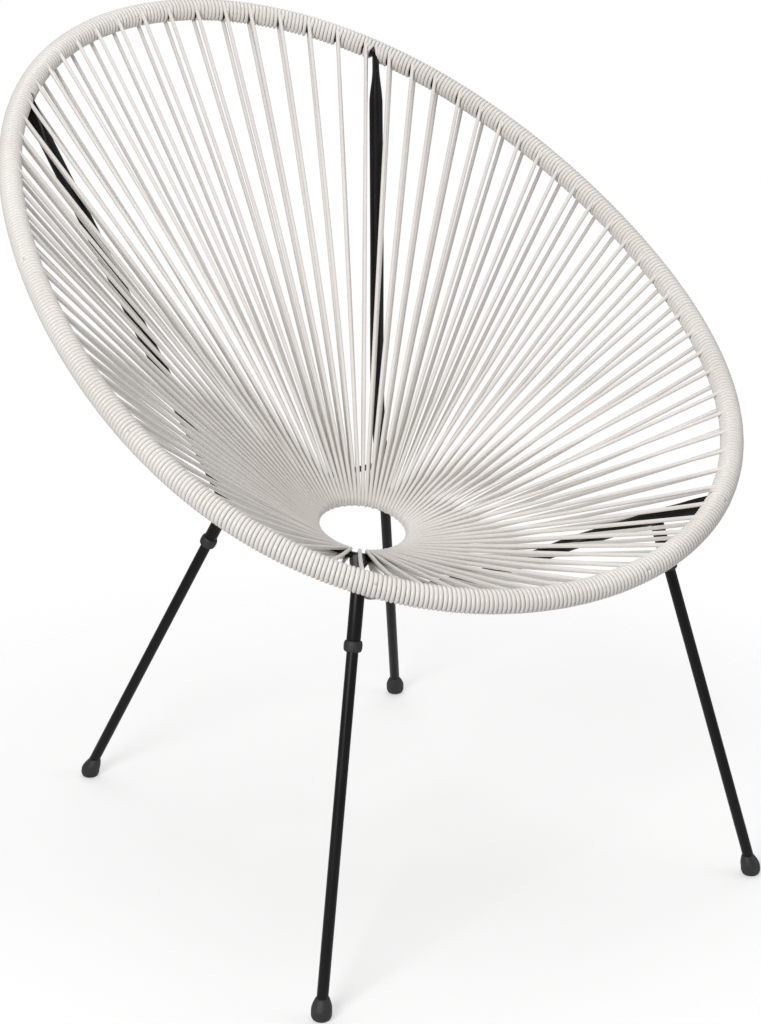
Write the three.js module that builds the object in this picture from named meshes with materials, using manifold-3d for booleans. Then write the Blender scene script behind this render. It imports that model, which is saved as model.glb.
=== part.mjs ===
// Acapulco chair: a tilted egg-shaped steel rim wound with cord, pairs of cords drawn from the rim to a small
// ring in the seat, a hoop and two ribs under the cords, and four legs that screw into sockets.
// Millimetres, +Z up. The origin is on the floor under the middle of the rim, and the sitter faces -Y.
import * as THREE from "three";
import { mergeVertices } from "three/addons/utils/BufferGeometryUtils.js";
import Module from "manifold-3d";

const wasm = await Module();
wasm.setup();

// Rim
const overallHeight = 880;
const rimHalfWidth = 376.5;
const rimHalfLength = 479.4;
const rimTilt = THREE.MathUtils.degToRad(27.55);
const rimEggShare = -0.0876;
const rimSquareShare = 0.0461;
const rimTubeDiameter = 16;

// Cord
const cordDiameter = 4.4;
const backPairs = 15;
const sidePairs = 26;
const frontPairs = 15;
const pairShare = 0.6;
const panelsInSpan = 3;

// Seat ring
const holeDiameter = 98;
const ringRodDiameter = 8;
const ringForward = 9;
const ringHeightShare = 0.4058;
const ringPitch = THREE.MathUtils.degToRad(15.5);

// Front hoop: each station is a distance from the middle in pairs of cords, and a share of the way to the rim.
// Its arms lie between two pairs of cords, and the stations past them are under the cords.
const hoopAngle = THREE.MathUtils.degToRad(149.3);
const hoopDiameter = 15;
const hoopArmShares = [7.5, 0.82];
const hoopArmLift = 3;
const hoopBendShares = [7.5, 0.72];
const hoopBendDrop = 3.5;
const hoopStationShares = [
  [7.5, 0.61],
  [6.9, 0.535],
  [6.16, 0.487],
  [4.88, 0.42],
  [2.58, 0.362],
  [0, 0.335],
];
const underCordSlack = 1.2;

// Back ribs and the rod between them
const ribAngle = THREE.MathUtils.degToRad(41.06);
const ribDiameter = 16;
const ribKneeOutward = 13.5;
const ribKneeBackward = 31.1;
const ribKneeRise = 55.7;
const ribTail = 9;
const crossRodDiameter = 7;
const crossRodLift = 6.7;

// Flattened tube ends at the rim
const flatThickness = 7;
const flatBreadth = 20;
const flatLength = 60;
const hoopFlatThickness = 8;
const hoopFlatBreadth = 20;
const hoopFlatLength = 50;

// Ring stay on the left
const stayDiameter = 12;
const stayFlatThickness = 5;
const stayFlatBreadth = 20;
const stayFlatLength = 70;
const stayStartShares = [7.25, 0.578];
const stayMiddleShares = [8.1, 0.3];
const stayEndShares = [7.9, 0];

// Legs: the feet as shares of the rim's half width and half length, and the tops of the leg lines. A front leg's top
// is beside the middle of the hoop's tube, at a share of the hoop's length. A back leg's top is behind the seat ring.
const frontFootAcrossShare = 0.74595;
const frontFootForwardShare = 0.76408;
const backFootAcrossShare = 0.58008;
const backFootBackShare = 0.53922;
const frontTopShare = 0.1294;
const frontTopOutward = 11.85;
const frontTopBackward = 6.32;
const frontTopDrop = 3.1;
const backTopAcrossShare = 0.27756;
const backTopBehindRing = 118.9;
const backTopAboveRing = 12.2;
const legDiameter = 12;
const legWall = 1.2;
const socketDiameter = 14.5;
const socketWall = 1.5;
const frontSocketLength = 49;
const backSocketLength = 48;
const collarDiameter = 18.5;
const collarHeight = 11.4;
const collarRounding = 2.4;
const nutLength = 25;
const studDiameter = 8;
const studReach = 22;
const studPlugLength = 20;
const footDiameter = 22;
const footFlatDiameter = 10;

// Fits and facets
const clearance = 0.3;
const rimSteps = 54;
const rimSides = 6;
const wrapSides = 8;
const wrapStep = 48;
const ringWrapStep = 11;
const ringSteps = 30;
const ringSides = 6;
const cordSides = 3;
const tubeSides = 8;
const tubeStep = 30;
const roundSides = 12;

const X = new THREE.Vector3(1, 0, 0);
const Y = new THREE.Vector3(0, 1, 0);
const Z = new THREE.Vector3(0, 0, 1);
const turn = 2 * Math.PI;

const black = { color: 0x0c0c0d, roughness: 0.35, metalness: 0.6 };
const blackPlastic = { color: 0x111112, roughness: 0.6, metalness: 0 };
const zincSteel = { color: 0x9a9c9f, roughness: 0.4, metalness: 0.9 };
const cordWhite = { color: 0xe4ded6, roughness: 0.65, metalness: 0 };

// Sizes that follow from the ones above
const cordRadius = cordDiameter / 2;
const rimTubeRadius = rimTubeDiameter / 2;
const rimWrapMiddle = rimTubeRadius + clearance + cordRadius;
const rimWrapRadius = rimWrapMiddle + cordRadius;
const ringRodRadius = ringRodDiameter / 2;
const ringWrapMiddle = ringRodRadius + clearance + cordRadius;
const ringWrapRadius = ringWrapMiddle + cordRadius;
const ringRadius = holeDiameter / 2 + ringWrapRadius;
const ringHeight = overallHeight * ringHeightShare;
const rimMiddleHeight = overallHeight - rimWrapRadius - rimHalfLength * Math.sin(rimTilt);
const footCentreHeight = Math.sqrt(footDiameter ** 2 - footFlatDiameter ** 2) / 2;

// The rim's centre line, by an angle that is 0 at the top of the back and grows to the right
function rimPoint(angle) {
  const along = rimHalfLength * Math.cos(angle);
  const swell = 1 + rimEggShare * Math.cos(angle) + rimSquareShare * Math.cos(2 * angle);
  const across = rimHalfWidth * Math.sin(angle) * swell;
  return new THREE.Vector3(across, along * Math.cos(rimTilt), rimMiddleHeight + along * Math.sin(rimTilt));
}

function ringPoint(angle) {
  const back = ringRadius * Math.cos(angle);
  const across = ringRadius * Math.sin(angle);
  const height = ringHeight + back * Math.sin(ringPitch);
  return new THREE.Vector3(across, back * Math.cos(ringPitch) - ringForward, height);
}

class LoopCurve extends THREE.Curve {
  constructor(pointAt, from, to) {
    super();
    this.pointAt = pointAt;
    this.from = from;
    this.to = to;
  }

  getPoint(share, target = new THREE.Vector3()) {
    return target.copy(this.pointAt(this.from + (this.to - this.from) * share));
  }
}

// The pairs of cords are even along each span of the rim, from one welded tube end to the next, and each stands at the
// same share of its spacing
const spans = [
  { from: -ribAngle, to: ribAngle, pairs: backPairs },
  { from: ribAngle, to: hoopAngle, pairs: sidePairs },
  { from: hoopAngle, to: turn - hoopAngle, pairs: frontPairs },
  { from: turn - hoopAngle, to: turn - ribAngle, pairs: sidePairs },
];
let pairCount = 0;
for (const span of spans) {
  span.first = pairCount;
  span.curve = new LoopCurve(rimPoint, span.from, span.to);
  pairCount += span.pairs;
}
const frontMiddle = backPairs + sidePairs + frontPairs / 2;

// Where a line of cord, by its count in pairs, meets the rim and the ring
function rimAngleOf(count) {
  const inside = (span) => count >= span.first && count <= span.first + span.pairs;
  const span = spans.find(inside);
  const share = span.curve.getUtoTmapping((count - span.first) / span.pairs);
  return span.from + (span.to - span.from) * share;
}

function ringAngleOf(count) {
  return (turn * (count - backPairs / 2)) / pairCount;
}

function tangentOf(pointAt, angle) {
  const small = 0.001;
  return pointAt(angle + small).sub(pointAt(angle - small)).normalize();
}

// A line of cord touches the wrapped rim and the wrapped ring on their upper sides (+1) or lower sides (-1)
function cordLine(count, side) {
  const rimAngle = rimAngleOf(count);
  const ringAngle = ringAngleOf(count);
  const rim = rimPoint(rimAngle);
  const ring = ringPoint(ringAngle);
  const outward = rim.clone().sub(ring).normalize();
  const rimUp = outward.clone().cross(tangentOf(rimPoint, rimAngle)).normalize();
  const ringUp = outward.clone().cross(tangentOf(ringPoint, ringAngle)).normalize();
  rimUp.multiplyScalar(Math.sign(rimUp.z) * side * rimWrapMiddle);
  ringUp.multiplyScalar(Math.sign(ringUp.z) * side * ringWrapMiddle);
  return { rim: rim.add(rimUp), ring: ring.add(ringUp) };
}

// A point at a drop under the lower layer of cords
function belowCords(fromMiddle, share, drop) {
  const line = cordLine(frontMiddle + fromMiddle, -1);
  const point = line.ring.clone().lerp(line.rim, share);
  point.z -= drop;
  return point;
}

// The same, so that a tube of the given half height there just clears the cords
function underCords(fromMiddle, share, halfHeight) {
  return belowCords(fromMiddle, share, halfHeight + cordRadius + underCordSlack);
}

function mirrored(point) {
  return new THREE.Vector3(-point.x, point.y, point.z);
}

// Geometry helpers
function disc(radius, sides) {
  const points = [];
  for (let i = 0; i < sides; i += 1) {
    const angle = (turn * i) / sides;
    points.push(new THREE.Vector2(radius * Math.cos(angle), radius * Math.sin(angle)));
  }
  return new THREE.Shape(points);
}

function sweep(path, radius, step, sides) {
  const steps = Math.max(1, Math.round(path.getLength() / step));
  return new THREE.ExtrudeGeometry(disc(radius, sides), { steps, extrudePath: path });
}

// A frame tube along a path, grown on all sides when it makes room for itself in another piece. Each flat end
// is pressed thin along one direction and broad across it.
function frameTube(path, diameter, grow, flatEnds) {
  const steps = Math.round(path.getLength() / tubeStep);
  const shape = disc(diameter / 2 + grow, tubeSides);
  const geometry = new THREE.ExtrudeGeometry(shape, { steps, extrudePath: path });
  const stations = path.getSpacedPoints(steps);
  const position = geometry.getAttribute("position");
  const vertex = new THREE.Vector3();
  const tips = [0, steps];
  for (let i = 0; i < position.count; i += 1) {
    vertex.fromBufferAttribute(position, i);
    const gaps = stations.map((station) => station.distanceTo(vertex));
    const nearest = gaps.indexOf(Math.min(...gaps));
    const centre = stations[nearest];
    for (const end of flatEnds) {
      const away = centre.distanceTo(stations[end.tip === "first" ? 0 : steps]);
      const share = THREE.MathUtils.smoothstep(end.length - away, 0, end.length);
      const offset = vertex.clone().sub(centre);
      const thinPart = end.thin.clone().multiplyScalar(offset.dot(end.thin));
      const broadPart = offset.sub(thinPart);
      const thinShare = (end.thickness + 2 * grow) / (diameter + 2 * grow);
      const broadShare = (end.breadth + 2 * grow) / (diameter + 2 * grow);
      thinPart.multiplyScalar(THREE.MathUtils.lerp(1, thinShare, share));
      broadPart.multiplyScalar(THREE.MathUtils.lerp(1, broadShare, share));
      vertex.copy(centre).add(thinPart).add(broadPart);
    }
    if (tips.includes(nearest)) {
      const inner = stations[nearest === 0 ? 1 : steps - 1];
      vertex.addScaledVector(centre.clone().sub(inner).normalize(), grow);
    }
    position.setXYZ(i, vertex.x, vertex.y, vertex.z);
  }
  return geometry;
}

function lathe(profile, segments) {
  const points = profile.map(([radius, height]) => new THREE.Vector2(radius, height));
  return new THREE.LatheGeometry(points, segments);
}

// Moves a shape made along +Y from the origin onto a line that starts at a point
function along(geometry, start, direction) {
  const rotation = new THREE.Quaternion().setFromUnitVectors(Y, direction);
  geometry.applyQuaternion(rotation);
  geometry.translate(start.x, start.y, start.z);
  return geometry;
}

function rod(start, end, radius, sides) {
  const length = start.distanceTo(end);
  const geometry = new THREE.CylinderGeometry(radius, radius, length, sides);
  geometry.translate(0, length / 2, 0);
  return along(geometry, start, end.clone().sub(start).normalize());
}

// Solids for the cuts and joins
function solidOf(source) {
  const geometry = source.clone();
  geometry.deleteAttribute("normal");
  geometry.deleteAttribute("uv");
  const merged = mergeVertices(geometry);
  const corners = merged.index.array;
  const triangles = [];
  for (let i = 0; i < corners.length; i += 3) {
    const [a, b, c] = [corners[i], corners[i + 1], corners[i + 2]];
    if (a !== b && b !== c && c !== a) triangles.push(a, b, c);
  }
  const vertProperties = Float32Array.from(merged.getAttribute("position").array);
  return new wasm.Manifold(new wasm.Mesh({ numProp: 3, vertProperties, triVerts: Uint32Array.from(triangles) }));
}

function geometryOf(solid) {
  const mesh = solid.getMesh();
  const geometry = new THREE.BufferGeometry();
  geometry.setAttribute("position", new THREE.BufferAttribute(mesh.vertProperties, 3));
  geometry.setIndex(new THREE.BufferAttribute(mesh.triVerts, 1));
  const faceted = geometry.toNonIndexed();
  faceted.computeVertexNormals();
  return faceted;
}

// Keeps what lies on one side of a plane, and half a clearance away from it
function keepBeyond(solid, point, normal) {
  const reach = 2 * overallHeight;
  const block = new THREE.BoxGeometry(reach, reach, reach);
  const middle = point.clone().addScaledVector(normal, (reach + clearance) / 2);
  block.applyQuaternion(new THREE.Quaternion().setFromUnitVectors(Z, normal));
  block.translate(middle.x, middle.y, middle.z);
  return solid.intersect(solidOf(block));
}

const chair = new THREE.Group();
function addPart(name, geometry, look) {
  const mesh = new THREE.Mesh(geometry, new THREE.MeshStandardMaterial(look));
  mesh.name = name;
  chair.add(mesh);
}

// Rim tube and seat ring
function rimTube(grow) {
  const curve = new LoopCurve(rimPoint, 0, turn);
  return new THREE.TubeGeometry(curve, rimSteps, rimTubeRadius + grow, rimSides, true);
}

function ringRod(grow) {
  const geometry = new THREE.TorusGeometry(ringRadius, ringRodRadius + grow, ringSides, ringSteps);
  geometry.rotateX(ringPitch);
  geometry.translate(0, -ringForward, ringHeight);
  return geometry;
}

addPart("rim_tube", rimTube(0), black);
addPart("seat_ring", ringRod(0), black);
const rimRoom = solidOf(rimTube(clearance));
const ringRoom = solidOf(ringRod(clearance));

// Front hoop: from the rim down under the cords, across and up to the rim again
const rightHoop = hoopStationShares.map(([count, share]) => underCords(-count, share, hoopDiameter / 2));
const hoopArm = belowCords(-hoopArmShares[0], hoopArmShares[1], -hoopArmLift);
const hoopBend = belowCords(-hoopBendShares[0], hoopBendShares[1], hoopBendDrop);
const hoopHalf = [rimPoint(hoopAngle), hoopArm, hoopBend, ...rightHoop];
const leftHalf = hoopHalf.slice(0, -1).reverse().map(mirrored);
const hoopPath = new THREE.CatmullRomCurve3([...hoopHalf, ...leftHalf]);

function hoopTube(grow) {
  const hoopFlat = { thickness: hoopFlatThickness, breadth: hoopFlatBreadth, length: hoopFlatLength };
  const first = { ...hoopFlat, tip: "first", thin: tangentOf(rimPoint, hoopAngle) };
  const last = { ...hoopFlat, tip: "last", thin: tangentOf(rimPoint, turn - hoopAngle) };
  return frameTube(hoopPath, hoopDiameter, grow, [first, last]);
}

addPart("front_hoop", geometryOf(solidOf(hoopTube(0)).subtract(rimRoom)), black);
const hoopRoom = solidOf(hoopTube(clearance));

// Back ribs: from the rim straight down to a knee, and on to the tops of the back legs
const backTopBack = backTopBehindRing - ringForward;
const backTopHeight = ringHeight + backTopAboveRing;
const backTop = new THREE.Vector3(rimHalfWidth * backTopAcrossShare, backTopBack, backTopHeight);
const knee = backTop.clone().add(new THREE.Vector3(ribKneeOutward, ribKneeBackward, ribKneeRise));
const ribFoot = backTop.clone().sub(knee).normalize();
const rimFlat = { thickness: flatThickness, breadth: flatBreadth, length: flatLength };
const ribRooms = [];
for (const side of [1, -1]) {
  const place = (point) => (side > 0 ? point : mirrored(point));
  const top = rimPoint(side * ribAngle);
  const middle = top.clone().lerp(place(knee), 1 / 2);
  const tail = backTop.clone().addScaledVector(ribFoot, ribTail);
  const path = new THREE.CatmullRomCurve3([top, middle, place(knee), place(backTop), place(tail)]);
  const flat = { ...rimFlat, tip: "first", thin: tangentOf(rimPoint, side * ribAngle) };
  const ribTube = (grow) => frameTube(path, ribDiameter, grow, [flat]);
  const rib = solidOf(ribTube(0)).subtract(rimRoom);
  addPart(side > 0 ? "back_rib_right" : "back_rib_left", geometryOf(rib), black);
  ribRooms.push(solidOf(ribTube(clearance)));
}

const rodRight = backTop.clone().addScaledVector(ribFoot, -crossRodLift);
const crossRod = solidOf(rod(mirrored(rodRight), rodRight, crossRodDiameter / 2, tubeSides));
addPart("cross_rod", geometryOf(crossRod.subtract(ribRooms[0]).subtract(ribRooms[1])), black);

// Ring stay: from the hoop's left half to the underside of the wrapped ring
const stayPath = new THREE.CatmullRomCurve3([
  underCords(stayStartShares[0], stayStartShares[1], hoopDiameter / 2),
  underCords(stayMiddleShares[0], stayMiddleShares[1], stayDiameter / 2),
  underCords(stayEndShares[0], stayEndShares[1], stayFlatThickness / 2),
]);

function stayTube(grow) {
  const thin = Z.clone().applyAxisAngle(X, ringPitch);
  const flat = { tip: "last", thin, thickness: stayFlatThickness, breadth: stayFlatBreadth, length: stayFlatLength };
  return frameTube(stayPath, stayDiameter, grow, [flat]);
}

addPart("ring_stay", geometryOf(solidOf(stayTube(0)).subtract(hoopRoom)), black);

// Legs: a socket welded to the frame, a nut in it, a stud in the leg tube, a collar over the joint and a foot
const frontTop = hoopPath.getPointAt(frontTopShare);
frontTop.add(new THREE.Vector3(frontTopOutward, frontTopBackward, -frontTopDrop));
const frontFootAcross = rimHalfWidth * frontFootAcrossShare;
const frontFootBack = -rimHalfLength * frontFootForwardShare;
const frontFoot = new THREE.Vector3(frontFootAcross, frontFootBack, footCentreHeight);
const backFootAcross = rimHalfWidth * backFootAcrossShare;
const backFootBack = rimHalfLength * backFootBackShare;
const backFoot = new THREE.Vector3(backFootAcross, backFootBack, footCentreHeight);
const legs = [
  { name: "front_right", foot: frontFoot, top: frontTop },
  { name: "front_left", foot: mirrored(frontFoot), top: mirrored(frontTop) },
  { name: "back_right", foot: backFoot, top: backTop },
  { name: "back_left", foot: mirrored(backFoot), top: mirrored(backTop) },
];

const legRadius = legDiameter / 2;
const socketRadius = socketDiameter / 2;
const socketBore = socketRadius - socketWall;
const nutRadius = socketBore - clearance;
const studRadius = studDiameter / 2;
const plugRadius = legRadius - legWall - clearance;
const footRadius = footDiameter / 2;
const collarBore = legRadius + clearance;
const collarRadius = collarDiameter / 2;

function pipe(outer, inner, from, to) {
  return lathe([[inner, from], [outer, from], [outer, to], [inner, to], [inner, from]], roundSides);
}

function footProfile() {
  const points = [[0, -footCentreHeight]];
  const start = Math.acos(footCentreHeight / footRadius);
  const steps = roundSides / 2;
  for (let i = 0; i < steps; i += 1) {
    const angle = start + ((Math.PI - start) * i) / steps;
    points.push([footRadius * Math.sin(angle), -footRadius * Math.cos(angle)]);
  }
  points.push([0, footRadius]);
  return points;
}

for (const leg of legs) {
  const { foot, top } = leg;
  const axis = top.clone().sub(foot).normalize();
  const length = foot.distanceTo(top);
  const isFront = foot.y < 0;
  const joint = length - (isFront ? frontSocketLength : backSocketLength);
  const tubeTop = joint - clearance;
  const welded = isFront ? [hoopRoom] : ribRooms;

  const cope = (solid, room) => solid.subtract(room);
  const socket = solidOf(along(pipe(socketRadius, socketBore, joint, length), foot, axis));
  addPart(`socket_${leg.name}`, geometryOf(welded.reduce(cope, socket)), black);

  const nut = pipe(nutRadius, studRadius + clearance, joint, joint + nutLength);
  addPart(`socket_nut_${leg.name}`, along(nut, foot, axis), zincSteel);

  const studProfile = [
    [0, tubeTop - studPlugLength],
    [plugRadius, tubeTop - studPlugLength],
    [plugRadius, tubeTop],
    [studRadius, tubeTop],
    [studRadius, tubeTop + studReach],
    [0, tubeTop + studReach],
  ];
  addPart(`leg_stud_${leg.name}`, along(lathe(studProfile, roundSides), foot, axis), zincSteel);

  const collarProfile = [
    [collarBore, tubeTop - collarHeight],
    [collarRadius - collarRounding, tubeTop - collarHeight],
    [collarRadius, tubeTop - collarHeight + collarRounding],
    [collarRadius, tubeTop - collarRounding],
    [collarRadius - collarRounding, tubeTop],
    [collarBore, tubeTop],
    [collarBore, tubeTop - collarHeight],
  ];
  addPart(`collar_${leg.name}`, along(lathe(collarProfile, roundSides), foot, axis), blackPlastic);

  addPart(`leg_tube_${leg.name}`, along(pipe(legRadius, legRadius - legWall, 0, tubeTop), foot, axis), black);

  const ball = lathe(footProfile(), roundSides).rotateX(Math.PI / 2).translate(foot.x, foot.y, foot.z);
  const legRoom = rod(foot, top, legRadius + clearance, roundSides);
  const footSolid = solidOf(ball).subtract(solidOf(legRoom));
  addPart(`foot_${leg.name}`, geometryOf(footSolid), blackPlastic);
}

// Seat cord, in panels that each hold their share of the wrap on the rim, the loops on the ring and the pairs
const frameRooms = [rimRoom, ringRoom, hoopRoom, ...ribRooms, solidOf(stayTube(clearance))];

function boundaryPlane(count) {
  const ringAngle = ringAngleOf(count);
  const start = ringPoint(ringAngle);
  const direction = rimPoint(rimAngleOf(count)).sub(start).normalize();
  const up = Z.clone().applyAxisAngle(X, ringPitch);
  return { start, normal: up.cross(direction).normalize() };
}

function cordPanel(first, last) {
  const rimOverrun = rimWrapRadius / rimHalfWidth;
  const ringOverrun = cordDiameter / ringRadius;
  const rimPart = new LoopCurve(rimPoint, rimAngleOf(first) - rimOverrun, rimAngleOf(last) + rimOverrun);
  const ringPart = new LoopCurve(ringPoint, ringAngleOf(first) - ringOverrun, ringAngleOf(last) + ringOverrun);
  let panel = solidOf(sweep(rimPart, rimWrapRadius, wrapStep, wrapSides));
  panel = panel.add(solidOf(sweep(ringPart, ringWrapRadius, ringWrapStep, ringSides)));
  for (let count = first + pairShare; count < last; count += 1) {
    for (const side of [1, -1]) {
      const line = cordLine(count, side);
      panel = panel.add(solidOf(rod(line.ring, line.rim, cordRadius, cordSides)));
    }
  }
  for (const room of frameRooms) panel = panel.subtract(room);
  const from = boundaryPlane(first);
  const to = boundaryPlane(last);
  panel = keepBeyond(panel, from.start, from.normal.negate());
  return keepBeyond(panel, to.start, to.normal);
}

let panelNumber = 0;
for (const span of spans) {
  for (let i = 0; i < panelsInSpan; i += 1) {
    panelNumber += 1;
    const first = span.first + Math.round((span.pairs * i) / panelsInSpan);
    const last = span.first + Math.round((span.pairs * (i + 1)) / panelsInSpan);
    addPart(`cord_panel_${panelNumber}`, geometryOf(cordPanel(first, last)), cordWhite);
  }
}

export default chair;
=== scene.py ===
import math

import bpy
import numpy as np
from mathutils import Matrix, Vector


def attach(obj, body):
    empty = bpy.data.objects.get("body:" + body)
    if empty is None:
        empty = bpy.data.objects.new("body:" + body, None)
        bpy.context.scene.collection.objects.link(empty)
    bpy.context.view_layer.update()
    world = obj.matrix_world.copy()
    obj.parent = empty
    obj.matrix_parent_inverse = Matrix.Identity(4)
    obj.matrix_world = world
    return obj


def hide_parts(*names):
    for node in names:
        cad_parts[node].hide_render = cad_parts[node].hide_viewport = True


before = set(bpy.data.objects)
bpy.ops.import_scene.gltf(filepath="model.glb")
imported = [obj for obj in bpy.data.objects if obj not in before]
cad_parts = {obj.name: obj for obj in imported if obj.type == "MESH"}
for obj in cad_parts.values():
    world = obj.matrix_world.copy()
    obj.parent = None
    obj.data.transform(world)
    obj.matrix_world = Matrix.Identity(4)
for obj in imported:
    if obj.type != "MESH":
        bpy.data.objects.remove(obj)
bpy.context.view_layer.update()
rng = np.random.default_rng(7)

FULL_TURN = 2 * math.pi
UP = np.array([0, 0, 1.0])
SIDES = (("right", 1), ("left", -1))

# Rim. Sizes are in metres and angles in radians, and the frame's own are repeated here and below.
OVERALL_HEIGHT = 0.880
RIM_HALF_WIDTH = 0.3765
RIM_HALF_LENGTH = 0.4794
RIM_TILT = math.radians(27.55)
RIM_EGG = -0.0876
RIM_SQUARE = 0.0461
RIM_TUBE_RADIUS = 0.008

# Cord
CORD_RADIUS = 0.0022
CLEARANCE = 0.0003
RIM_WRAP = RIM_TUBE_RADIUS + CLEARANCE + CORD_RADIUS
RIM_MIDDLE_HEIGHT = OVERALL_HEIGHT - RIM_WRAP - CORD_RADIUS - RIM_HALF_LENGTH * math.sin(RIM_TILT)

# Seat ring
HOLE_RADIUS = 0.049
RING_ROD_RADIUS = 0.004
RING_WRAP = RING_ROD_RADIUS + CLEARANCE + CORD_RADIUS
RING_RADIUS = HOLE_RADIUS + RING_WRAP + CORD_RADIUS
RING_FORWARD = 0.009
RING_HEIGHT = 0.4058 * OVERALL_HEIGHT
RING_PITCH = math.radians(15.5)

# Spans of the rim between the welded tube ends: first angle, last angle and pairs of cords.
# The angle is 0 at the top of the back and grows to the right.
RIB_ANGLE = math.radians(41.06)
HOOP_ANGLE = math.radians(149.3)
BACK_PAIRS = 15
SIDE_PAIRS = 26
FRONT_PAIRS = 15
SPANS = [
    (-RIB_ANGLE, RIB_ANGLE, BACK_PAIRS),
    (RIB_ANGLE, HOOP_ANGLE, SIDE_PAIRS),
    (HOOP_ANGLE, FULL_TURN - HOOP_ANGLE, FRONT_PAIRS),
    (FULL_TURN - HOOP_ANGLE, FULL_TURN - RIB_ANGLE, SIDE_PAIRS),
]
PAIRS = sum(pairs for _, _, pairs in SPANS)
BACK_MIDDLE = BACK_PAIRS / 2
FRONT_MIDDLE = BACK_PAIRS + SIDE_PAIRS + FRONT_PAIRS / 2

# Front hoop. A place under the seat is a distance from the front middle in pairs, a share of the way
# from the ring to the rim, and a drop from the lower cords there, which is below 0 where it lies higher.
# The hoop's arms come in between two pairs, and its stations are close under the cords.
HOOP_RADIUS = 0.0075
HOOP_FLAT = {"thickness": 0.008, "breadth": 0.0195, "length": 0.050}
HOOP_ARM_PAIRS = FRONT_PAIRS / 2
HOOP_ARM = {"share": 0.82, "drop": -0.003}
HOOP_BEND = {"share": 0.72, "drop": 0.0035}
HOOP_STATIONS = [(7.5, 0.61), (6.9, 0.535), (6.16, 0.487), (4.88, 0.42), (2.58, 0.362), (0, 0.335)]
UNDER_CORD_SLACK = 0.0012

# Back ribs and the rod between them. A back leg's line ends at the lower end of its rib.
RIB_RADIUS = 0.008
RIB_FLAT = {"thickness": 0.0056, "breadth": 0.020, "length": 0.060}
BACK_TOP = np.array([0.1045, 0.1189 - RING_FORWARD, RING_HEIGHT + 0.0122])
KNEE = BACK_TOP + [0.0135, 0.0311, 0.0557]
RIB_TAIL = 0.009
CROSS_ROD_RADIUS = 0.0035
CROSS_ROD_LIFT = 0.0067
CROSS_ROD_INSET = 0.004

# Ring stay on the left, from the hoop to the side of the ring
STAY_RADIUS = 0.006
STAY_FLAT = {"thickness": 0.005, "breadth": 0.021, "length": 0.120}
STAY_START = {"from_middle": 7.25, "share": 0.578}
STAY_MIDDLE = {"from_middle": 8.1, "share": 0.3, "drop": 0.002}
STAY_RISE = {"from_middle": 8, "share": 0.12, "drop": -0.004}
STAY_END_PAIRS = 8
STAY_END_OUTWARD = 0.0042

# How far the hoop, the ribs and the stay stop short of the line that they are welded to
WELD_GAP = 0.006

# Legs: the foot's centre, the socket's length, and how far the socket stops short of the leg's top.
# A front leg's line ends beside the hoop, at a share of the hoop's length.
FOOT_CENTRE = math.sqrt(0.022**2 - 0.010**2) / 2
FRONT_LEG = {"foot": (0.28085, -0.3663, FOOT_CENTRE), "socket_length": 0.049, "socket_gap": 0}
BACK_LEG = {"foot": (0.2184, 0.2585, FOOT_CENTRE), "socket_length": 0.048, "socket_gap": 0.002}
FRONT_TOP_SHARE = 0.1294
FRONT_TOP_OFFSET = (0.01185, 0.00632, -0.0031)
SOCKET_RADIUS = 0.00725
SOCKET_INNER_RADIUS = 0.00575
SOCKET_MOUTH = 0.012
LEG_RADIUS = 0.006
LEG_INNER_RADIUS = 0.0048
LEG_MOUTH = 0.010
COLLAR_HEIGHT = 0.0114
COLLAR_RADIUS = 0.0096
COLLAR_SHOULDER_RADIUS = 0.0093
COLLAR_EDGE_RADIUS = 0.0083
COLLAR_SHOULDER = 0.0022

# Foot: its outline as radius and height over its centre, and how softly it starts to lean with the leg
FOOT_PROFILE = [
    (0, -FOOT_CENTRE),
    (0.0086, -FOOT_CENTRE),
    (0.0108, -0.0055),
    (0.0108, 0.0032),
    (0.0094, 0.0078),
    (0.0072, 0.0126),
    (0.0062, 0.0134),
    (0.0058, 0.0134),
]
FOOT_LEAN_SOFTNESS = 0.004

# Mesh detail. The seam is where a turned mesh starts, the blend is how soon a pressed end is fully flat,
# and the rounding share is the most of an outline's side that a rounded corner takes.
ANGLE_STEPS = 2001
CURVE_STEPS = 40
CORD_SEGMENTS = 8
TUBE_SEGMENTS = 40
TUBE_STEP = 0.003
RIM_STEPS = 240
RIM_SEGMENTS = 24
RING_STEPS = 96
RING_SEGMENTS = 16
ROD_STEPS = 40
ROD_SEGMENTS = 20
LATHE_SEGMENTS = 48
LATHE_SEAM = (0.3, 1.0, 0.1)
FLAT_BLEND = 1.3
ROUNDING_SHARE = 0.45

# Camera, matched to the photograph
PHOTO_WIDTH = 761
PHOTO_HEIGHT = 1024
SENSOR_SIZE = 36
FOCAL_PIXELS = 2756.888
CENTRE_PIXEL = (384.575, 503.051)
CAMERA_AZIMUTH = -0.57657
CAMERA_ELEVATION = 0.35754
CAMERA_ROLL = -0.00289
CAMERA_DISTANCE = 3.02746
CAMERA_TARGET = Vector((0, -0.0539, 0.40))


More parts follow.
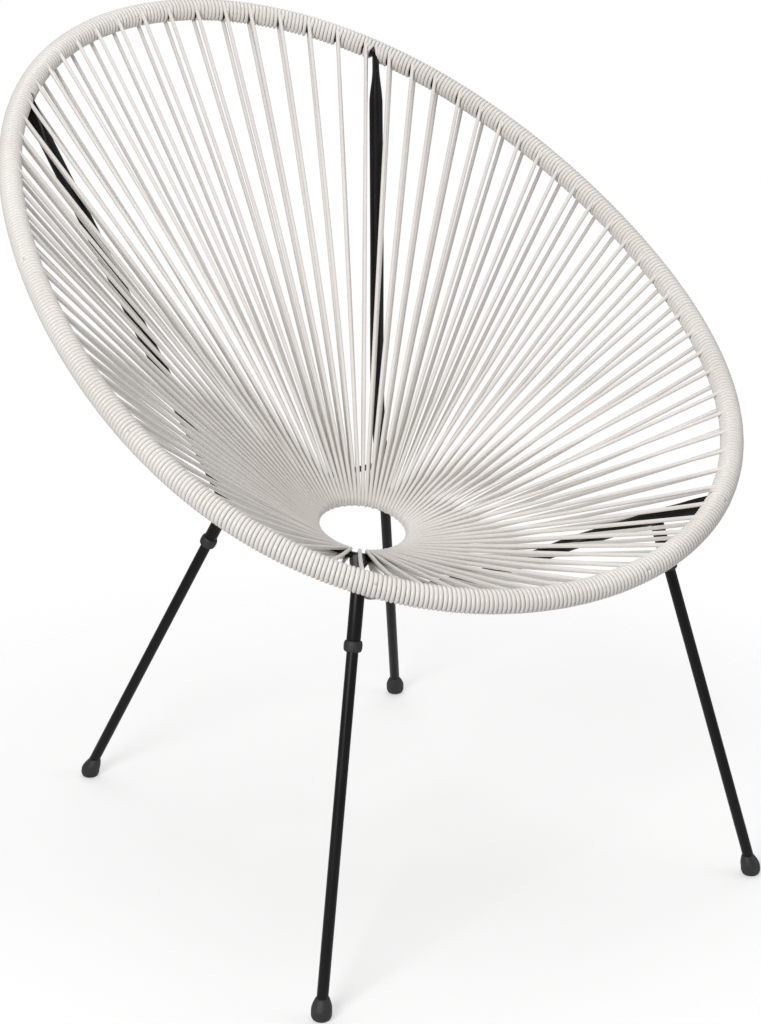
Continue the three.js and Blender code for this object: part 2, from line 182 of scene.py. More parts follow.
def make_camera():
    level = math.cos(CAMERA_ELEVATION)
    backward = Vector((
        math.sin(CAMERA_AZIMUTH) * level,
        -math.cos(CAMERA_AZIMUTH) * level,
        math.sin(CAMERA_ELEVATION),
    ))
    right = Vector((math.cos(CAMERA_AZIMUTH), math.sin(CAMERA_AZIMUTH), 0))
    upward = backward.cross(right)
    rolled_right = right * math.cos(CAMERA_ROLL) + upward * math.sin(CAMERA_ROLL)
    rolled_up = upward * math.cos(CAMERA_ROLL) - right * math.sin(CAMERA_ROLL)
    data = bpy.data.cameras.new("camera")
    data.lens = SENSOR_SIZE * FOCAL_PIXELS / PHOTO_HEIGHT
    data.shift_x = (PHOTO_WIDTH / 2 - CENTRE_PIXEL[0]) / PHOTO_HEIGHT
    data.shift_y = (CENTRE_PIXEL[1] - PHOTO_HEIGHT / 2) / PHOTO_HEIGHT
    data.clip_start = 0.1
    data.clip_end = 60
    camera = bpy.data.objects.new("camera", data)
    bpy.context.scene.collection.objects.link(camera)
    turn = Matrix((rolled_right, rolled_up, backward)).transposed().to_4x4()
    camera.matrix_world = Matrix.Translation(CAMERA_TARGET + backward * CAMERA_DISTANCE) @ turn
    bpy.context.scene.camera = camera


make_camera()


# Lines and directions
def unit(v):
    return v / np.maximum(np.linalg.norm(v, axis=-1, keepdims=True), 1e-12)


def smoothstep(x):
    x = np.clip(x, 0, 1)
    return x * x * (3 - 2 * x)


def hump(x, middle, width):
    """1 at the middle, falling to 0 over a few widths on both sides."""
    return np.exp(-(((x - middle) / width) ** 2))


def on_side(point, side):
    """A point of the right half for side 1, or its mirror image on the left for side -1."""
    return np.multiply(point, [side, 1, 1])


def lengths_along(line):
    """The length from the start of a line of points to each of them."""
    return np.concatenate([[0], np.cumsum(np.linalg.norm(np.diff(line, axis=0), axis=1))])


def points_at(distances, line):
    """Points at distances from the start of a line of points."""
    lengths = lengths_along(line)
    return np.stack([np.interp(distances, lengths, line[:, k]) for k in range(3)], -1)


def resampled(line, step):
    """The same line with even steps."""
    length = lengths_along(line)[-1]
    count = max(2, round(length / step) + 1)
    return points_at(np.linspace(0, length, count), line)


def trimmed(line, start, end):
    """The same line without a length at its start and one at its end."""
    length = lengths_along(line)[-1]
    return points_at(np.linspace(start, length - end, len(line)), line)


def catmull(points):
    """The centripetal curve through points that the frame's tubes follow too."""
    padded = [2 * points[0] - points[1], *points, 2 * points[-1] - points[-2]]
    t = np.linspace(0, 1, CURVE_STEPS, endpoint=False)[:, None]
    stretches = []
    for p0, p1, p2, p3 in zip(padded, padded[1:], padded[2:], padded[3:]):
        d0, d1, d2 = (np.linalg.norm(b - a) ** 0.5 for a, b in ((p0, p1), (p1, p2), (p2, p3)))
        start_slope = ((p1 - p0) / d0 - (p2 - p0) / (d0 + d1) + (p2 - p1) / d1) * d1
        end_slope = ((p2 - p1) / d1 - (p3 - p1) / (d1 + d2) + (p3 - p2) / d2) * d1
        places = (2 * t**3 - 3 * t**2 + 1) * p1 + (-2 * t**3 + 3 * t**2) * p2
        slopes = (t**3 - 2 * t**2 + t) * start_slope + (t**3 - t**2) * end_slope
        stretches.append(places + slopes)
    return np.concatenate([*stretches, points[-1:]])


# Rim and ring
def rim_point(angle):
    """The rim's centre line by angle."""
    along = RIM_HALF_LENGTH * np.cos(angle)
    swell = 1 + RIM_EGG * np.cos(angle) + RIM_SQUARE * np.cos(2 * angle)
    across = RIM_HALF_WIDTH * np.sin(angle) * swell
    height = RIM_MIDDLE_HEIGHT + along * math.sin(RIM_TILT)
    return np.stack([across, along * math.cos(RIM_TILT), height], -1)


def ring_point(angle):
    """The ring's centre line by angle, with 0 at its back too."""
    along = RING_RADIUS * np.cos(angle)
    backward = along * math.cos(RING_PITCH) - RING_FORWARD
    height = RING_HEIGHT + along * math.sin(RING_PITCH)
    return np.stack([RING_RADIUS * np.sin(angle), backward, height], -1)


def tangent(curve, angle):
    nudge = 0.001
    return unit(curve(angle + nudge) - curve(angle - nudge))


def place_tables():
    """Places round the rim, in pairs from the left back rib, with the rim's angle at each."""
    places, angles, first = [], [], 0
    for start, end, pairs in SPANS:
        angle = np.linspace(start, end, ANGLE_STEPS)
        length = lengths_along(rim_point(angle))
        places.append(first + pairs * length / length[-1])
        angles.append(angle)
        first += pairs
    return np.concatenate(places), np.concatenate(angles)


PLACE_TABLE, ANGLE_TABLE = place_tables()


def rim_angle(place):
    """The rim's angle at a place."""
    laps = np.floor(place / PAIRS)
    return np.interp(place - laps * PAIRS, PLACE_TABLE, ANGLE_TABLE) + FULL_TURN * laps


def ring_angle(place):
    """The ring's angle where the cords of a place on the rim turn."""
    return FULL_TURN * (place - BACK_MIDDLE) / PAIRS


def section_axes(along, inward):
    """Inward made square to a tube's direction, and the upward direction square to both."""
    inward = unit(inward - along * np.sum(inward * along, -1, keepdims=True))
    upward = np.cross(inward, along)
    return inward, upward * np.sign(upward[..., 2:3])


def rim_frame(place):
    """Centre, inward direction and upward direction of the rim's section at a place."""
    angle = rim_angle(place)
    centre = rim_point(angle)
    return centre, *section_axes(tangent(rim_point, angle), ring_point(ring_angle(place)) - centre)


def ring_frame(place):
    """Centre, direction towards the hole and upward direction of the ring's section at a place."""
    angle = ring_angle(place)
    centre = ring_point(angle)
    return centre, *section_axes(tangent(ring_point, angle), centre - rim_point(rim_angle(place)))


# Cords of a plain net, which the tubes under the seat are set from
def cord_line(place, side):
    """Both ends of a straight cord, the upper one for side 1 and the lower one for side -1."""
    rim, ring = rim_point(rim_angle(place)), ring_point(ring_angle(place))
    outward = unit(rim - ring)
    rim_up = unit(np.cross(outward, tangent(rim_point, rim_angle(place))))
    ring_up = unit(np.cross(outward, tangent(ring_point, ring_angle(place))))
    rim_up = rim_up * np.sign(rim_up[..., 2:3]) * side * RIM_WRAP
    ring_up = ring_up * np.sign(ring_up[..., 2:3]) * side * RING_WRAP
    return rim + rim_up, ring + ring_up


def below_cords(from_middle, share, drop):
    """A place under the seat, by pairs from the front middle, share of the way out and drop."""
    rim, ring = cord_line(FRONT_MIDDLE + from_middle, -1)
    return ring + (rim - ring) * share - drop * UP


def under_cords(from_middle, share, half_height):
    """The centre of a tube that lies close under the lower cords."""
    return below_cords(from_middle, share, half_height + CORD_RADIUS + UNDER_CORD_SLACK)


# Meshes
def new_object(name, vertices, faces, smooth=True):
    mesh = bpy.data.meshes.new(name)
    mesh.from_pydata([tuple(v) for v in vertices], [], faces)
    mesh.validate()
    if smooth:
        mesh.polygons.foreach_set("use_smooth", [True] * len(mesh.polygons))
    mesh.update()
    made = bpy.data.objects.new(name, mesh)
    bpy.context.scene.collection.objects.link(made)
    return made


def side_directions(points):
    """Two directions square to a line at each of its points, without twist."""
    tangents = unit(np.gradient(points, axis=0))
    side = np.cross(tangents[0], UP)
    sides = np.zeros_like(points)
    for i, direction in enumerate(tangents):
        side = side - direction * np.dot(side, direction)
        side = side / np.linalg.norm(side)
        sides[i] = side
    return sides, np.cross(tangents, sides)


def circles(first, second, segments):
    """Directions all round, from two side directions at each point."""
    angles = np.linspace(0, FULL_TURN, segments, endpoint=False)[:, None]
    return first[:, None] * np.cos(angles) + second[:, None] * np.sin(angles)


def tube_faces(rows, segments):
    """Faces between rows of points that each go round a tube."""
    faces = []
    for low in range(0, (rows - 1) * segments, segments):
        high = low + segments
        for k in range(segments):
            n = (k + 1) % segments
            faces.append((low + k, low + n, high + n, high + k))
    return faces


def capped_faces(rows, segments):
    """The same faces, and one that closes each end of the tube."""
    last = (rows - 1) * segments
    caps = [tuple(reversed(range(segments))), tuple(range(last, last + segments))]
    return tube_faces(rows, segments) + caps


def tube_mesh(points, radii, segments):
    """A round tube along points. radii is one radius, or one for each point."""
    radii = np.broadcast_to(radii, len(points))
    vertices = points[:, None] + circles(*side_directions(points), segments) * radii[:, None, None]
    return vertices.reshape(-1, 3), capped_faces(len(points), segments)


def loop_mesh(points, radius, segments):
    """A round tube along points that closes on itself."""
    first, second = side_directions(np.concatenate([points[-1:], points, points[:1]]))
    vertices = points[:, None] + circles(first[1:-1], second[1:-1], segments) * radius
    starts = [np.sum((np.roll(vertices[0], -k, 0) - vertices[-1]) ** 2) for k in range(segments)]
    shift = int(np.argmin(starts))
    faces = tube_faces(len(points), segments)
    last = (len(points) - 1) * segments
    for k in range(segments):
        n = (k + 1) % segments
        faces.append((last + k, last + n, (n + shift) % segments, (k + shift) % segments))
    return vertices.reshape(-1, 3), faces


def flattened_tube(path, radius, flats):
    """A tube along a path, pressed flat at ends. flats holds (first or last, thin direction, flat)."""
    points = resampled(path, TUBE_STEP)
    offset = circles(*side_directions(points), TUBE_SEGMENTS) * radius
    for end, thin, flat in flats:
        tip = points[0] if end == "first" else points[-1]
        inside = flat["length"] - np.linalg.norm(points - tip, axis=1)
        share = smoothstep(FLAT_BLEND * inside / flat["length"])[:, None, None]
        thin_part = np.sum(offset * thin, -1, keepdims=True) * thin
        squeeze = 1 + (flat["thickness"] / (2 * radius) - 1) * share
        spread = 1 + (flat["breadth"] / (2 * radius) - 1) * share
        offset = thin_part * squeeze + (offset - thin_part) * spread
    vertices = points[:, None] + offset
    return vertices.reshape(-1, 3), capped_faces(len(points), TUBE_SEGMENTS)


def rounded(profile, radius, steps=4):
    """A profile with its corners rounded, but not its two ends."""
    profile = np.array(profile, float)
    out = [profile[0]]
    for before, corner, after in zip(profile, profile[1:], profile[2:]):
        in_length, out_length = np.linalg.norm(before - corner), np.linalg.norm(after - corner)
        reach = min(radius, ROUNDING_SHARE * in_length, ROUNDING_SHARE * out_length)
        start = corner + (before - corner) / in_length * reach
        end = corner + (after - corner) / out_length * reach
        for s in np.linspace(0, 1, steps + 1):
            out.append((1 - s) ** 2 * start + 2 * s * (1 - s) * corner + s**2 * end)
    return [*out, profile[-1]]


def lathe_mesh(profile, origin, axis):
    """A profile of (radius, height) turned round an axis through origin. Ends on the axis are closed."""
    side = unit(np.cross(axis, LATHE_SEAM))
    circle = circles(side[None], np.cross(axis, side)[None], LATHE_SEGMENTS)[0]
    vertices, rows = [], []
    for radius, height in profile:
        middle = origin + axis * height
        row = middle + circle * radius if radius > 0 else [middle]
        rows.append(range(len(vertices), len(vertices) + len(row)))
        vertices.extend(row)
    faces = []
    for low, high in zip(rows, rows[1:]):
        for k in range(LATHE_SEGMENTS):
            n = (k + 1) % LATHE_SEGMENTS
            if len(low) == 1:
                faces.append((low[0], high[n], high[k]))
            elif len(high) == 1:
                faces.append((low[k], low[n], high[0]))
            else:
                faces.append((low[k], low[n], high[n], high[k]))
    return np.array(vertices), faces


# Materials
class Surface:
    """A node material whose patterns lie in the object's own coordinates."""

    def __init__(self, name):
        self.material = bpy.data.materials.new(name)
        self.material.use_nodes = True
        self.nodes = self.material.node_tree.nodes
        self.links = self.material.node_tree.links
        self.shader = self.nodes["Principled BSDF"]
        self.coordinates = self.nodes.new("ShaderNodeTexCoord").outputs["Object"]

    def set(self, socket, value):
        self.shader.inputs[socket].default_value = value

    def link(self, socket, source):
        self.links.new(source, self.shader.inputs[socket])

    def noise(self, scale, detail, stretch=None):
        """A noise pattern, drawn out along the axes by stretch."""
        texture = self.nodes.new("ShaderNodeTexNoise")
        texture.inputs["Scale"].default_value = scale
        texture.inputs["Detail"].default_value = detail
        at = self.coordinates
        if stretch is not None:
            mapping = self.nodes.new("ShaderNodeMapping")
            mapping.inputs["Scale"].default_value = stretch
            self.links.new(at, mapping.inputs["Vector"])
            at = mapping.outputs["Vector"]
        self.links.new(at, texture.inputs["Vector"])
        return texture.outputs["Fac"]

    def ramp(self, pattern, between, colours):
        """Two colours, blended where a pattern lies between two values."""
        made = self.nodes.new("ShaderNodeValToRGB")
        for stop, position, colour in zip(made.color_ramp.elements, between, colours):
            stop.position = position
            stop.color = (*colour, 1)
        self.links.new(pattern, made.inputs["Fac"])
        return made.outputs["Color"]

    def product(self, first, second):
        mixed = self.nodes.new("ShaderNodeMix")
        mixed.data_type = "RGBA"
        mixed.blend_type = "MULTIPLY"
        mixed.inputs["Factor"].default_value = 1.0
        self.links.new(first, mixed.inputs["A"])
        self.links.new(second, mixed.inputs["B"])
        return mixed.outputs["Result"]

    def bump(self, pattern, strength, distance):
        made = self.nodes.new("ShaderNodeBump")
        made.inputs["Strength"].default_value = strength
        made.inputs["Distance"].default_value = distance
        self.links.new(pattern, made.inputs["Height"])
        self.link("Normal", made.outputs["Normal"])


def greys(*values):
    return [(v, v, v) for v in values]


def cord_material():
    """Off-white plastic cord with a soft gloss, warmer in patches and finely speckled."""
    cord = Surface("cord")
    patches = cord.noise(scale=7, detail=4)
    fine = cord.noise(scale=240, detail=3)
    tone = cord.ramp(patches, between=(0.35, 0.68), colours=[(0.695, 0.660, 0.625), (0.755, 0.725, 0.692)])
    speck = cord.ramp(fine, between=(0.30, 0.62), colours=greys(0.965, 1.0))
    cord.link("Base Color", cord.product(tone, speck))
    cord.link("Roughness", cord.ramp(fine, between=(0.3, 0.7), colours=greys(0.38, 0.28)))
    cord.set("IOR", 1.46)
    cord.bump(fine, strength=0.10, distance=0.0002)
    return cord.material


def paint_material():
    """Black paint on steel, with a faint orange peel."""
    paint = Surface("frame_paint")
    patches = paint.noise(scale=9, detail=3)
    peel = paint.noise(scale=520, detail=2)
    black = [(0.0035, 0.0035, 0.0038), (0.0065, 0.0065, 0.007)]
    paint.link("Base Color", paint.ramp(patches, between=(0.3, 0.7), colours=black))
    paint.link("Roughness", paint.ramp(patches, between=(0.3, 0.75), colours=greys(0.30, 0.40)))
    paint.set("Specular IOR Level", 0.22)
    paint.bump(peel, strength=0.12, distance=0.0003)
    return paint.material


def plastic_material():
    """Matt black plastic with a fine grain."""
    plastic = Surface("black_plastic")
    patches = plastic.noise(scale=60, detail=4)
    grain = plastic.noise(scale=900, detail=2)
    black = [(0.011, 0.011, 0.012), (0.022, 0.022, 0.023)]
    plastic.link("Base Color", plastic.ramp(patches, between=(0.35, 0.7), colours=black))
    plastic.link("Roughness", plastic.ramp(patches, between=(0.3, 0.7), colours=greys(0.52, 0.66)))
    plastic.bump(grain, strength=0.35, distance=0.0002)
    return plastic.material


def zinc_material():
    """Zinc-plated steel, lightly brushed."""
    zinc = Surface("zinc")
    brushed = zinc.noise(scale=300, detail=3, stretch=(1, 1, 8))
    steel = [(0.46, 0.47, 0.48), (0.60, 0.61, 0.62)]
    zinc.link("Base Color", zinc.ramp(brushed, between=(0.3, 0.7), colours=steel))
    zinc.set("Metallic", 1.0)
    zinc.link("Roughness", zinc.ramp(brushed, between=(0.3, 0.7), colours=greys(0.28, 0.42)))
    return zinc.material


CORD, PAINT, PLASTIC, ZINC = cord_material(), paint_material(), plastic_material(), zinc_material()


def add_piece(name, mesh, material, node):
    """A piece with its material, in the place of a node of the frame."""
    piece = new_object(name, *mesh)
    piece.data.materials.append(material)
    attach(piece, "root")
    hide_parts(node)


def add_painted(name, mesh, node):
    add_piece(name, mesh, PAINT, node)


def add_plastic(name, mesh, node):
    add_piece(name, mesh, PLASTIC, node)


def dress_node(name, material):
    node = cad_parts[name]
    node.data.materials.clear()
    node.data.materials.append(material)


# Wound cord: one continuous cord, drawn from the rim to the ring and back at each pair.
# A turn is one wrap round the rim, counted from the left back rib on. Pair 0 leaves the rim between
# places 0 and 1, at the pair share, and so on. The wraps are a little thicker than the free cord,
# so that they touch.
PAIR_SHARE = 0.6
WRAP_PITCH = 0.00458
WRAP_RADIUS = 0.00227
TURN_STEPS = 18
TURN_DRIFT = 0.02
RADIUS_DRIFT = 0.00005
PANELS_IN_SPAN = 3

# On the rim's inner side the wraps part round the flat tube ends and close up at the pairs
RIB_ROOM = 0.0053
HOOP_ROOM = 0.0064
WELD_PLACES = [0, BACK_PAIRS, BACK_PAIRS + SIDE_PAIRS, PAIRS - SIDE_PAIRS, PAIRS]
WELD_ROOMS = [RIB_ROOM, RIB_ROOM, HOOP_ROOM, HOOP_ROOM, RIB_ROOM]
PARTING_REACH = 0.03
INNER_BLEND = 1.7
CLOSING = 0.2
CLOSING_REACH = 1.2

# Runs between the rim and the ring
RUN_POINTS = 12
LOOP_POINTS = 11
RUN_LEAN = 0.00035
RUN_SAG = 0.0006
RUN_SAG_SPREAD = 0.0005
HOME_SAG_SHARE = 1.4
LOOP_STEP = 0.3
ODD_LOOP_OUTWARD = 0.0007

# At the stay the pairs fan out. By place, how far they move along the ring, in pairs. By pair, how far the
# cord moves on as it goes round the ring, how many half turns it goes round, and how far its lower run
# passes under and beside the stay, at two shares of the way back to the rim.
RING_DRIFT_AT = [48, 55.6, 56.6, 57.6, 66]
RING_DRIFT_BY = [0, -0.8, 0.1, 1.6, 0]
LOOP_STEP_AT_STAY = {55: -0.9, 56: 0.05, 57: 0.7}
HALF_TURNS_AT_STAY = {58: 1.3, 59: 1.3, 60: 1.3, 61: 1.25, 62: 1.2, 63: 1.1}
PAST_STAY = {55: (0.003, 0), 56: (0.004, 0.010), 57: (0.003, 0)}
UNDER_AT = {"middle": 0.14, "width": 0.12}
ASIDE_AT = {"middle": 0.4, "width": 0.2}


def spacing(place):
    """Metres along the rim from pair to pair."""
    nudge = 0.02
    step = rim_point(rim_angle(place + nudge)) - rim_point(rim_angle(place - nudge))
    return np.linalg.norm(step) / (2 * nudge)


def turns_at_welds():
    """Whole turns from the first weld to each weld."""
    counted = [0]
    for low, high in zip(WELD_PLACES, WELD_PLACES[1:]):
        length = (high - low) * spacing((low + high) / 2)
        counted.append(counted[-1] + round(length / WRAP_PITCH))
    return counted


WELD_TURNS = turns_at_welds()
ALL_TURNS = WELD_TURNS[-1]


def turn_of(pair):
    """The whole turn after which a pair leaves the rim."""
    return round(np.interp(pair + PAIR_SHARE, WELD_PLACES, WELD_TURNS))


def place_at(turn):
    """The place on the rim at a turn."""
    laps = np.floor(turn / ALL_TURNS)
    return np.interp(turn - laps * ALL_TURNS, WELD_TURNS, WELD_PLACES) + laps * PAIRS


def inner_side(phase):
    """1 on the rim's inner side and 0 on its outer side, by the phase of a wrap."""
    return smoothstep(INNER_BLEND * np.sin(phase))


def parted(place, phase):
    """Places along the wraps, moved aside on the inner side where a flat tube end comes through."""
    inner = inner_side(phase)
    middles = np.floor(phase / FULL_TURN) * FULL_TURN + math.pi / 2
    middle_places = np.interp(middles, phase, place)
    for weld, room in zip(WELD_PLACES, WELD_ROOMS):
        side = np.where(middle_places > weld, 1.0, -1.0)
        away = np.maximum((place - weld) * side, 0) * spacing(weld)
        moved = weld + side * np.sqrt(away**2 + (room * inner) ** 2) / spacing(weld)
        place = np.where((inner > 0) & (away < PARTING_REACH), moved, place)
    return place


def wander(turn, turns, spread):
    """A random value that changes from turn to turn."""
    return np.interp(turn, np.arange(turns + 2), rng.normal(0, spread, turns + 2))


def winding(pair):
    """The wraps from where the lower cord of a pair comes back to the next pair, as points."""
    start = turn_of(pair)
    turns = (turn_of((pair + 1) % PAIRS) - start) % ALL_TURNS
    phase = np.linspace(math.pi, FULL_TURN * turns, int(TURN_STEPS * (turns - 0.5)) + 1)
    turn = phase / FULL_TURN
    fade = np.sin(math.pi * np.linspace(0, 1, len(phase))) ** 0.5
    drift = wander(turn, turns, TURN_DRIFT) * fade
    radius = RIM_WRAP + wander(turn, turns, RADIUS_DRIFT) * fade
    # On the inner side, the first and the last wraps move towards the pairs, to close the gaps there
    first_inner, last_inner = 1.25, turns - 0.75
    closing = np.exp((turn - last_inner) / CLOSING_REACH) - np.exp((first_inner - turn) / CLOSING_REACH)
    turn = turn + drift + CLOSING * closing * inner_side(phase)
    centre, inward, upward = rim_frame(parted(place_at(start + turn), phase))
    return centre + radius[:, None] * (np.cos(phase)[:, None] * upward + np.sin(phase)[:, None] * inward)


def place_on_ring(pair):
    """Where a pair meets the ring, counted as the places on the rim are."""
    place = pair + PAIR_SHARE
    return place + np.interp(place, RING_DRIFT_AT, RING_DRIFT_BY)


def ring_loop(pair):
    """Round the ring's rod, from the upper run of a pair to the lower one, as points."""
    phase = np.linspace(0, math.pi * HALF_TURNS_AT_STAY.get(pair, 1), LOOP_POINTS)
    step = LOOP_STEP_AT_STAY.get(pair, LOOP_STEP)
    centre, inward, upward = ring_frame(place_on_ring(pair) + step * phase / phase[-1])
    radius = RING_WRAP + (ODD_LOOP_OUTWARD if pair % 2 else 0) * np.sin(phase)
    return centre + radius[:, None] * (np.cos(phase)[:, None] * upward + np.sin(phase)[:, None] * inward)


def excursion(pair, in_rim):
    """From the rim to the ring, round it and back to a point on the rim, as points."""
    out_rim, _ = cord_line(place_at(turn_of(pair)), 1)
    _, out_ring = cord_line(place_on_ring(pair), 1)
    loop = ring_loop(pair)
    in_ring = loop[-1]
    lean = rng.normal(0, RUN_LEAN, 3)
    sag = (RUN_SAG + abs(rng.normal(0, RUN_SAG_SPREAD))) * UP
    share = np.linspace(0, 1, RUN_POINTS + 2)[1:-1, None]
    bow = 4 * share * (1 - share)
    out = out_rim + (out_ring - out_rim) * share - sag * bow + lean * bow
    home = in_ring + (in_rim - in_ring) * share - HOME_SAG_SHARE * sag * bow - lean * bow
    under, aside = PAST_STAY.get(pair, (0, 0))
    home = home - under * UP * hump(share, **UNDER_AT)
    home = home + aside * unit(np.cross(in_rim - in_ring, UP)) * hump(share, **ASIDE_AT)
    return np.concatenate([out, loop, home])


def cord_panel(windings, first, last):
    """Points and radii of the cord, from halfway before pair first to halfway before pair last."""
    before = windings[first - 1]
    lines = [before[len(before) // 2 :]]
    radii = [WRAP_RADIUS]
    for pair in range(first, last):
        wraps = windings[pair]
        if pair == last - 1:
            wraps = wraps[: len(wraps) // 2 + 1]
        lines += [excursion(pair, windings[pair][0]), wraps]
        radii += [CORD_RADIUS, WRAP_RADIUS]
    return np.concatenate(lines), np.repeat(radii, [len(line) for line in lines])


def panel_ranges():
    """First pair of each panel, and first pair after it."""
    ranges, first = [], 0
    for _, _, pairs in SPANS:
        edges = [first + round(pairs * i / PANELS_IN_SPAN) for i in range(PANELS_IN_SPAN + 1)]
        ranges += zip(edges, edges[1:])
        first += pairs
    return ranges


def make_cord():
    windings = [winding(pair) for pair in range(PAIRS)]
    for number, (first, last) in enumerate(panel_ranges(), 1):
        mesh = tube_mesh(*cord_panel(windings, first, last), CORD_SEGMENTS)
        add_piece(f"cord_{number}", mesh, CORD, f"cord_panel_{number}")


# Frame tubes
def make_rim():
    points = rim_point(np.linspace(0, FULL_TURN, RIM_STEPS, endpoint=False))
    add_painted("rim", loop_mesh(points, RIM_TUBE_RADIUS, RIM_SEGMENTS), "rim_tube")


def make_ring():
    points = ring_point(np.linspace(0, FULL_TURN, RING_STEPS, endpoint=False))
    add_painted("ring", loop_mesh(points, RING_ROD_RADIUS, RING_SEGMENTS), "seat_ring")


def hoop_path():
    """The hoop's centre line, from the rim on the right, under the cords, to the rim on the left."""
    right_half = [
        rim_point(HOOP_ANGLE),
        below_cords(-HOOP_ARM_PAIRS, **HOOP_ARM),
        below_cords(-HOOP_ARM_PAIRS, **HOOP_BEND),
        *(under_cords(-from_middle, share, HOOP_RADIUS) for from_middle, share in HOOP_STATIONS),
    ]
    left_half = [on_side(point, -1) for point in reversed(right_half[:-1])]
    return catmull(np.array(right_half + left_half))


def make_hoop(path):
    flats = [
        ("first", tangent(rim_point, HOOP_ANGLE), HOOP_FLAT),
        ("last", tangent(rim_point, -HOOP_ANGLE), HOOP_FLAT),
    ]
    tube = flattened_tube(trimmed(path, WELD_GAP, WELD_GAP), HOOP_RADIUS, flats)
    add_painted("hoop", tube, "front_hoop")


def make_ribs():
    tail = BACK_TOP + unit(BACK_TOP - KNEE) * RIB_TAIL
    for name, side in SIDES:
        angle = side * RIB_ANGLE
        top = rim_point(angle)
        knee = on_side(KNEE, side)
        lower = [on_side(BACK_TOP, side), on_side(tail, side)]
        path = catmull(np.array([top, (top + knee) / 2, knee, *lower]))
        flats = [("first", tangent(rim_point, angle), RIB_FLAT)]
        tube = flattened_tube(trimmed(path, WELD_GAP, 0), RIB_RADIUS, flats)
        add_painted(f"rib_{name}", tube, f"back_rib_{name}")


def make_cross_rod():
    right_end = BACK_TOP - unit(BACK_TOP - KNEE) * CROSS_ROD_LIFT - [CROSS_ROD_INSET, 0, 0]
    points = np.linspace(on_side(right_end, -1), right_end, ROD_STEPS)
    add_painted("cross_bar", tube_mesh(points, CROSS_ROD_RADIUS, ROD_SEGMENTS), "cross_rod")


def make_stay():
    """The stay on the left, whose flat end meets the ring between the upper and the lower cords."""
    ring_side = ring_point(ring_angle(FRONT_MIDDLE + STAY_END_PAIRS))
    far_side = ring_point(ring_angle(FRONT_MIDDLE + STAY_END_PAIRS - PAIRS / 2))
    stations = [
        under_cords(**STAY_START, half_height=HOOP_RADIUS),
        below_cords(**STAY_MIDDLE),
        below_cords(**STAY_RISE),
        ring_side + unit(ring_side - far_side) * STAY_END_OUTWARD,
    ]
    path = catmull(np.array(stations))
    thin = np.array([0, -math.sin(RING_PITCH), math.cos(RING_PITCH)])
    tube = flattened_tube(trimmed(path, WELD_GAP, 0), STAY_RADIUS, [("last", thin, STAY_FLAT)])
    add_painted("stay", tube, "ring_stay")


# Legs, with heights along the leg's line from the foot's centre
def leg_tube(top):
    return rounded(
        [
            (0, 0),
            (LEG_RADIUS, 0),
            (LEG_RADIUS, top),
            (LEG_INNER_RADIUS, top),
            (LEG_INNER_RADIUS, top - LEG_MOUTH),
        ],
        radius=0.0004,
    )


def leg_socket(mouth, end):
    return rounded(
        [
            (SOCKET_INNER_RADIUS, mouth + SOCKET_MOUTH),
            (SOCKET_INNER_RADIUS, mouth),
            (SOCKET_RADIUS, mouth),
            (SOCKET_RADIUS, end),
            (0, end),
        ],
        radius=0.0005,
    )


def leg_collar(high):
    low = high - COLLAR_HEIGHT
    return rounded(
        [
            (LEG_RADIUS, low),
            (COLLAR_EDGE_RADIUS, low),
            (COLLAR_SHOULDER_RADIUS, low + COLLAR_SHOULDER),
            (COLLAR_RADIUS, (low + high) / 2),
            (COLLAR_SHOULDER_RADIUS, high - COLLAR_SHOULDER),
            (COLLAR_EDGE_RADIUS, high),
            (LEG_RADIUS, high),
        ],
        radius=0.0016,
    )


def foot_mesh(centre, axis):
    """An upright foot whose upper part leans over with the leg."""
    vertices, faces = lathe_mesh(rounded(FOOT_PROFILE, radius=0.0032, steps=6), centre, UP)
    above = vertices[:, 2] - centre[2]
    lean = (above + np.hypot(above, FOOT_LEAN_SOFTNESS)) / 2
    vertices[:, :2] += axis[:2] / axis[2] * lean[:, None]
    return vertices, faces


def make_leg(name, top, foot, socket_length, socket_gap):
    """The pieces of a leg, along its line from the foot's centre to the top."""
    axis = unit(top - foot)
    length = np.linalg.norm(top - foot)
    joint = length - socket_length
    tube_top = joint - CLEARANCE
    add_painted(f"leg_{name}", lathe_mesh(leg_tube(tube_top), foot, axis), f"leg_tube_{name}")
    socket = lathe_mesh(leg_socket(joint, length - socket_gap), foot, axis)
    add_painted(f"leg_socket_{name}", socket, f"socket_{name}")
    add_plastic(f"leg_collar_{name}", lathe_mesh(leg_collar(tube_top), foot, axis), f"collar_{name}")
    add_plastic(f"leg_foot_{name}", foot_mesh(foot, axis), f"foot_{name}")
    for node in ("socket_nut", "leg_stud"):
        dress_node(f"{node}_{name}", ZINC)


def make_legs(hoop_line):
    hoop_length = lengths_along(hoop_line)[-1]
    front_top = points_at(FRONT_TOP_SHARE * hoop_length, hoop_line) + FRONT_TOP_OFFSET
    for row, top, leg in (("front", front_top, FRONT_LEG), ("back", BACK_TOP, BACK_LEG)):
        for name, side in SIDES:
            placed = {**leg, "foot": on_side(leg["foot"], side)}
            make_leg(f"{row}_{name}", on_side(top, side), **placed)


# Floor, light and world
FLOOR_RADIUS = 3.2
FLOOR_HEIGHT = -0.0002
FLOOR_SEGMENTS = 96
FLOOR_ALBEDO = 0.97
FLOOR_OPACITY = 0.6
FLOOR_FADE_FROM = 0.42
FLOOR_FADE_TO = 0.85
WORLD_STRENGTH = 0.46
WHITE = (1, 1, 1, 1)


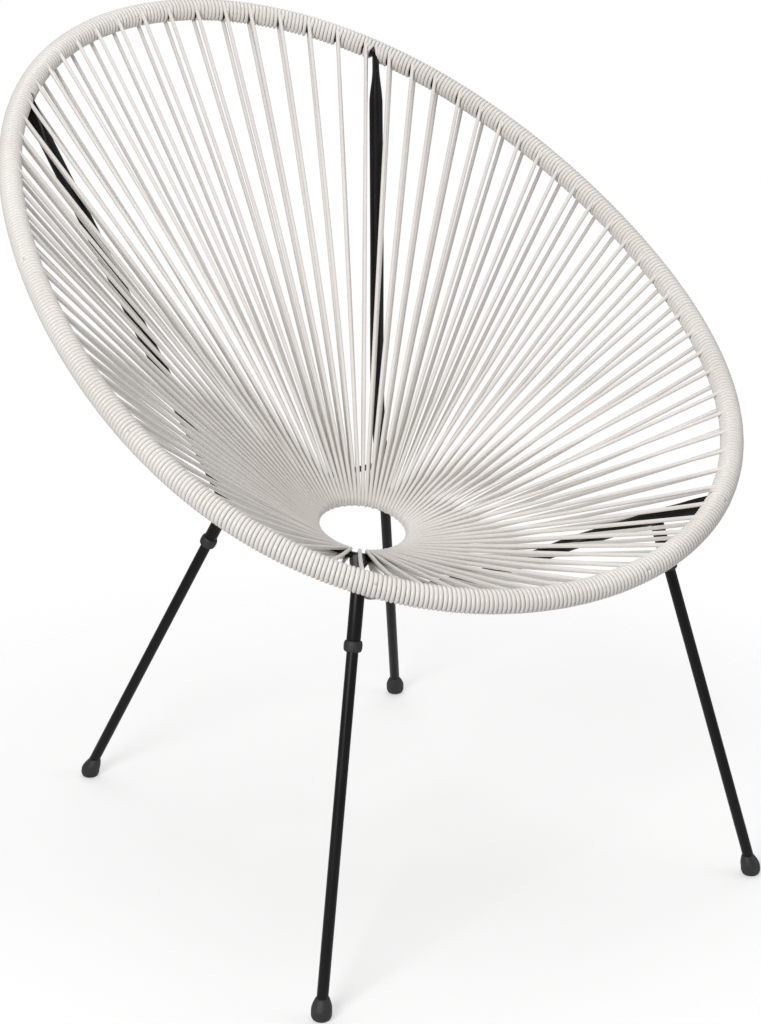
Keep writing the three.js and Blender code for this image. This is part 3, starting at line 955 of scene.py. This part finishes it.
def make_floor():
    """A pale round floor that fades out into the white background."""
    angles = np.linspace(0, FULL_TURN, FLOOR_SEGMENTS, endpoint=False)
    heights = np.full(FLOOR_SEGMENTS, FLOOR_HEIGHT)
    edge = np.stack([FLOOR_RADIUS * np.cos(angles), FLOOR_RADIUS * np.sin(angles), heights], -1)
    floor = new_object("floor", edge, [tuple(range(FLOOR_SEGMENTS))], smooth=False)
    pale = Surface("floor")
    pale.set("Base Color", (FLOOR_ALBEDO, FLOOR_ALBEDO, FLOOR_ALBEDO, 1))
    pale.set("Roughness", 0.95)
    pale.set("Specular IOR Level", 0.1)
    distance = pale.nodes.new("ShaderNodeVectorMath")
    distance.operation = "LENGTH"
    pale.links.new(pale.coordinates, distance.inputs[0])
    fade = pale.nodes.new("ShaderNodeMapRange")
    fade.interpolation_type = "SMOOTHSTEP"
    fade.inputs["From Min"].default_value = FLOOR_FADE_FROM
    fade.inputs["From Max"].default_value = FLOOR_FADE_TO
    fade.inputs["To Min"].default_value = FLOOR_OPACITY
    fade.inputs["To Max"].default_value = 0
    pale.links.new(distance.outputs["Value"], fade.inputs["Value"])
    pale.link("Alpha", fade.outputs["Result"])
    floor.data.materials.append(pale.material)


def make_world():
    """Soft light from all round, and a plain white background."""
    world = bpy.data.worlds.new("world")
    world.use_nodes = True
    bpy.context.scene.world = world
    nodes, links = world.node_tree.nodes, world.node_tree.links
    light = nodes["Background"]
    light.inputs["Color"].default_value = WHITE
    light.inputs["Strength"].default_value = WORLD_STRENGTH
    backdrop = nodes.new("ShaderNodeBackground")
    backdrop.inputs["Color"].default_value = WHITE
    path = nodes.new("ShaderNodeLightPath")
    mix = nodes.new("ShaderNodeMixShader")
    links.new(path.outputs["Is Camera Ray"], mix.inputs["Fac"])
    links.new(light.outputs["Background"], mix.inputs[1])
    links.new(backdrop.outputs["Background"], mix.inputs[2])
    links.new(mix.outputs["Shader"], nodes["World Output"].inputs["Surface"])


def make_lamp(name, place, aim, size, power):
    """A soft rectangular lamp that points at a place."""
    data = bpy.data.lights.new(name, "AREA")
    data.shape = "RECTANGLE"
    data.size, data.size_y = size
    data.energy = power
    lamp = bpy.data.objects.new(name, data)
    bpy.context.scene.collection.objects.link(lamp)
    lamp.location = place
    lamp.rotation_mode = "QUATERNION"
    lamp.rotation_quaternion = (Vector(place) - Vector(aim)).to_track_quat("Z", "Y")


make_cord()
make_rim()
make_ring()
hoop_line = hoop_path()
make_hoop(hoop_line)
make_ribs()
make_cross_rod()
make_stay()
make_legs(hoop_line)

make_floor()
make_world()
make_lamp("key", place=(-2.5, -1.6, 1.8), aim=(0, 0, 0.5), size=(1.3, 1.3), power=68)
make_lamp("fill", place=(2.1, -1.9, 1.5), aim=(0, 0, 0.5), size=(1.2, 1.2), power=12)
make_lamp("top", place=(0.7, 0.7, 3.2), aim=(0, 0, 0.3), size=(2.4, 1.8), power=34)
bpy.context.scene.view_settings.view_transform = "Standard"
